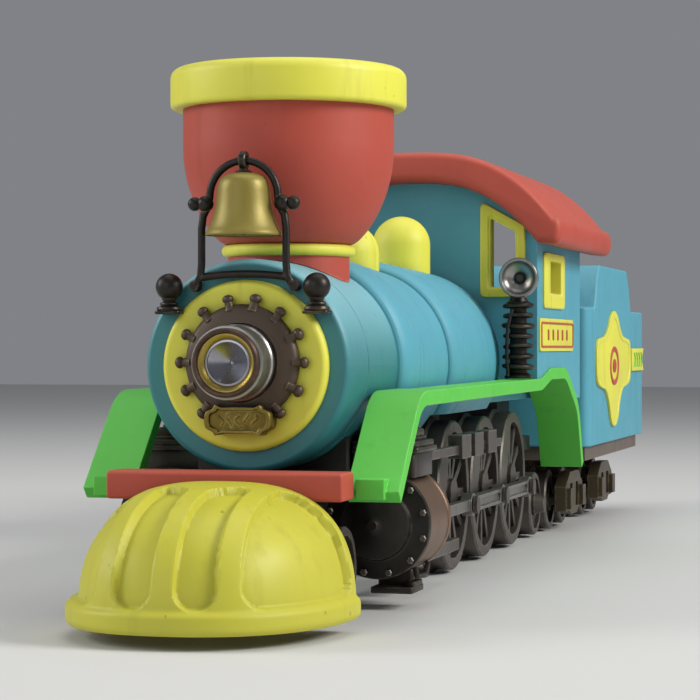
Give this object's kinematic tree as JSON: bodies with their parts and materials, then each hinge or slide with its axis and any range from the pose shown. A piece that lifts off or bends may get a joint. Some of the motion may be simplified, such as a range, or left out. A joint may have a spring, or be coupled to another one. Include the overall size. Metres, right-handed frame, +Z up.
{
  "type": "toy train locomotive",
  "caption": "Large-scale toy steam locomotive with tender: banded boiler, balloon stack, swinging bell, arched cab, cowcatcher, turning wheels with side rods and swivelling trucks.",
  "frame": {"origin": "middle of the bounding box's base, on the surface the wheels stand on", "axes": "-Y points to the front of the train, +X to its left-hand side, +Z up"},
  "size_m": [0.12, 0.622, 0.17],
  "materials": {
    "yellow_plastic": "satin",
    "red_plastic": "satin",
    "blue_plastic": "satin",
    "green_plastic": "satin",
    "bronze_metal": "dark satin",
    "silver_metal": "satin",
    "brown_plastic": "satin",
    "bell_metal": "worn satin",
    "copper_metal": "satin",
    "gear_metal": "satin",
    "frame_plastic": "matte",
    "brass_plastic": "satin"
  },
  "bodies": {
    "locomotive": {"main_frame": "frame_plastic", "buffer_beam": "red_plastic", "cowcatcher": "yellow_plastic", "boiler_front": "blue_plastic", "boiler_middle": "blue_plastic", "boiler_rear": "blue_plastic", "smokebox_door": "yellow_plastic", "headlight_base": "bronze_metal", "headlight_barrel": "silver_metal", "headlight_rim": "brown_plastic", "headlight_reflector": "silver_metal", "number_plate": "bronze_metal", "marker_lamp_left": "bronze_metal", "marker_lamp_right": "bronze_metal", "stack_neck": "red_plastic", "stack_collar": "yellow_plastic", "stack_bowl": "red_plastic", "stack_rim": "yellow_plastic", "front_dome": "yellow_plastic", "rear_dome": "yellow_plastic", "bell_bracket": "bronze_metal", "cab_shell": "blue_plastic", "cab_roof": "red_plastic", "side_window_left": "yellow_plastic", "side_window_right": "yellow_plastic", "front_windows": "yellow_plastic", "nameplates": "yellow_plastic", "running_board_left": "green_plastic", "running_board_right": "green_plastic", "air_pump": "bronze_metal", "pump_horn": "silver_metal", "cylinder_left": "copper_metal", "cylinder_right": "copper_metal", "cylinder_cover_left": "bronze_metal", "cylinder_cover_right": "bronze_metal", "valve_gear": "bronze_metal", "gearmotor": "frame_plastic"},
    "bell": {"bell": "bell_metal"},
    "clapper": {"bell_clapper": "bronze_metal"},
    "drivers_front": {"drivers_front": "gear_metal"},
    "drivers_main": {"drivers_main": "gear_metal"},
    "drivers_rear": {"drivers_rear": "gear_metal"},
    "side_rod_left": {"side_rod_left": "gear_metal"},
    "side_rod_right": {"side_rod_right": "gear_metal"},
    "pilot_truck": {"pilot_truck": "frame_plastic"},
    "pilot_wheels": {"pilot_wheels": "gear_metal"},
    "trailing_truck": {"trailing_truck": "frame_plastic"},
    "trailing_wheels": {"trailing_wheels": "gear_metal"},
    "tender": {"tender_shell": "blue_plastic", "tender_frame": "frame_plastic", "tender_crest_left": "yellow_plastic", "tender_crest_right": "yellow_plastic"},
    "tender_truck_front": {"tender_truck_front": "brass_plastic"},
    "tender_truck_rear": {"tender_truck_rear": "brass_plastic"},
    "rear_coupler": {"rear_coupler": "frame_plastic"},
    "tender_wheels_1": {"tender_wheels_1": "gear_metal"},
    "tender_wheels_2": {"tender_wheels_2": "gear_metal"},
    "tender_wheels_3": {"tender_wheels_3": "gear_metal"},
    "tender_wheels_4": {"tender_wheels_4": "gear_metal"}
  },
  "joints": [
    {"name": "bell_swing", "type": "hinge", "parent": "locomotive", "child": "bell", "pos_m": [0, -0.233, 0.1374], "axis": [1, 0, 0], "range_deg": [-15, 15]},
    {"name": "clapper_swing", "type": "hinge", "parent": "bell", "child": "clapper", "pos_m": [0, -0.233, 0.1292], "axis": [1, 0, 0], "range_deg": [-20, 20]},
    {"name": "main_driver_spin", "type": "hinge", "parent": "locomotive", "child": "drivers_main", "pos_m": [0, -0.013, 0.0282], "axis": [1, 0, 0], "continuous": true},
    {"name": "front_driver_spin", "type": "hinge", "parent": "locomotive", "child": "drivers_front", "pos_m": [0, -0.071, 0.0282], "axis": [1, 0, 0], "continuous": true},
    {"name": "rear_driver_spin", "type": "hinge", "parent": "locomotive", "child": "drivers_rear", "pos_m": [0, 0.045, 0.0282], "axis": [1, 0, 0], "continuous": true},
    {"name": "left_rod_crank", "type": "hinge", "parent": "drivers_main", "child": "side_rod_left", "pos_m": [0.0335, -0.00489, 0.0243], "axis": [1, 0, 0], "continuous": true},
    {"name": "right_rod_crank", "type": "hinge", "parent": "drivers_main", "child": "side_rod_right", "pos_m": [-0.0335, -0.0091, 0.03631], "axis": [1, 0, 0], "continuous": true},
    {"name": "pilot_swivel", "type": "hinge", "parent": "locomotive", "child": "pilot_truck", "pos_m": [0, -0.227, 0.022], "axis": [0, 0, 1], "range_deg": [-6, 6]},
    {"name": "pilot_wheel_spin", "type": "hinge", "parent": "pilot_truck", "child": "pilot_wheels", "pos_m": [0, -0.227, 0.0146], "axis": [1, 0, 0], "continuous": true},
    {"name": "trailing_swivel", "type": "hinge", "parent": "locomotive", "child": "trailing_truck", "pos_m": [0, 0.077, 0.022], "axis": [0, 0, 1], "range_deg": [-5, 5]},
    {"name": "trailing_wheel_spin", "type": "hinge", "parent": "trailing_truck", "child": "trailing_wheels", "pos_m": [0, 0.097, 0.0146], "axis": [1, 0, 0], "continuous": true},
    {"name": "tender_swing", "type": "hinge", "parent": "locomotive", "child": "tender", "pos_m": [0, 0.099, 0.034], "axis": [0, 0, 1], "range_deg": [-5, 5]},
    {"name": "front_truck_swivel", "type": "hinge", "parent": "tender", "child": "tender_truck_front", "pos_m": [0, 0.151, 0.024], "axis": [0, 0, 1], "range_deg": [-5, 5]},
    {"name": "rear_truck_swivel", "type": "hinge", "parent": "tender", "child": "tender_truck_rear", "pos_m": [0, 0.245, 0.024], "axis": [0, 0, 1], "range_deg": [-6, 6]},
    {"name": "coupler_swing", "type": "hinge", "parent": "tender", "child": "rear_coupler", "pos_m": [0, 0.289, 0.0225], "axis": [0, 0, 1], "range_deg": [-15, 15]},
    {"name": "tender_wheel_spin_1", "type": "hinge", "parent": "tender_truck_front", "child": "tender_wheels_1", "pos_m": [0, 0.134, 0.0142], "axis": [1, 0, 0], "continuous": true},
    {"name": "tender_wheel_spin_2", "type": "hinge", "parent": "tender_truck_front", "child": "tender_wheels_2", "pos_m": [0, 0.168, 0.0142], "axis": [1, 0, 0], "continuous": true},
    {"name": "tender_wheel_spin_3", "type": "hinge", "parent": "tender_truck_rear", "child": "tender_wheels_3", "pos_m": [0, 0.228, 0.0142], "axis": [1, 0, 0], "continuous": true},
    {"name": "tender_wheel_spin_4", "type": "hinge", "parent": "tender_truck_rear", "child": "tender_wheels_4", "pos_m": [0, 0.262, 0.0142], "axis": [1, 0, 0], "continuous": true}
  ],
  "couplings": [
    {"joint": "front_driver_spin", "follows": "main_driver_spin", "ratio": 1},
    {"joint": "rear_driver_spin", "follows": "main_driver_spin", "ratio": 1},
    {"joint": "left_rod_crank", "follows": "main_driver_spin", "ratio": -1},
    {"joint": "right_rod_crank", "follows": "main_driver_spin", "ratio": -1}
  ]
}
